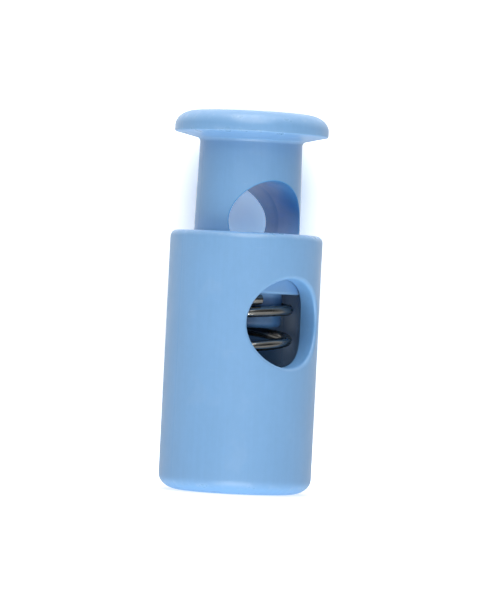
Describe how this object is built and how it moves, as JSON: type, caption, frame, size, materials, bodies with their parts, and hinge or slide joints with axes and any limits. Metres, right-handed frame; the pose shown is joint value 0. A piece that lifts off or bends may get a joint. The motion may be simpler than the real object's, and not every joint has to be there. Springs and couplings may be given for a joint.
{
  "type": "cord lock",
  "caption": "Round barrel cord lock: a spring holds the plunger out, and a cord through the cross holes of barrel and plunger is pinched until the broad head is pressed.",
  "frame": {"origin": "centre of the barrel's closed end, on the surface that it stands on", "axes": "+Z along the barrel towards the plunger's head; the barrel's cord hole runs along Y"},
  "size_m": [0.01, 0.01, 0.0249],
  "materials": {
    "barrel_plastic": "satin",
    "plunger_plastic": "satin",
    "spring_steel": "gloss"
  },
  "bodies": {
    "barrel": {"barrel": "barrel_plastic"},
    "spring": {"spring": "spring_steel"},
    "plunger": {"plunger": "plunger_plastic"}
  },
  "joints": [
    {"name": "plunger_turn", "type": "hinge", "parent": "barrel", "child": "spring", "pos_m": [0, 0, 0], "axis": [0, 0, 1], "continuous": true},
    {"name": "plunger_slide", "type": "slide", "parent": "spring", "child": "plunger", "axis": [0, 0, 1], "range_m": [-0.0061, 0], "stiffness_N_per_m": 2800, "deforming": ["spring"]}
  ]
}
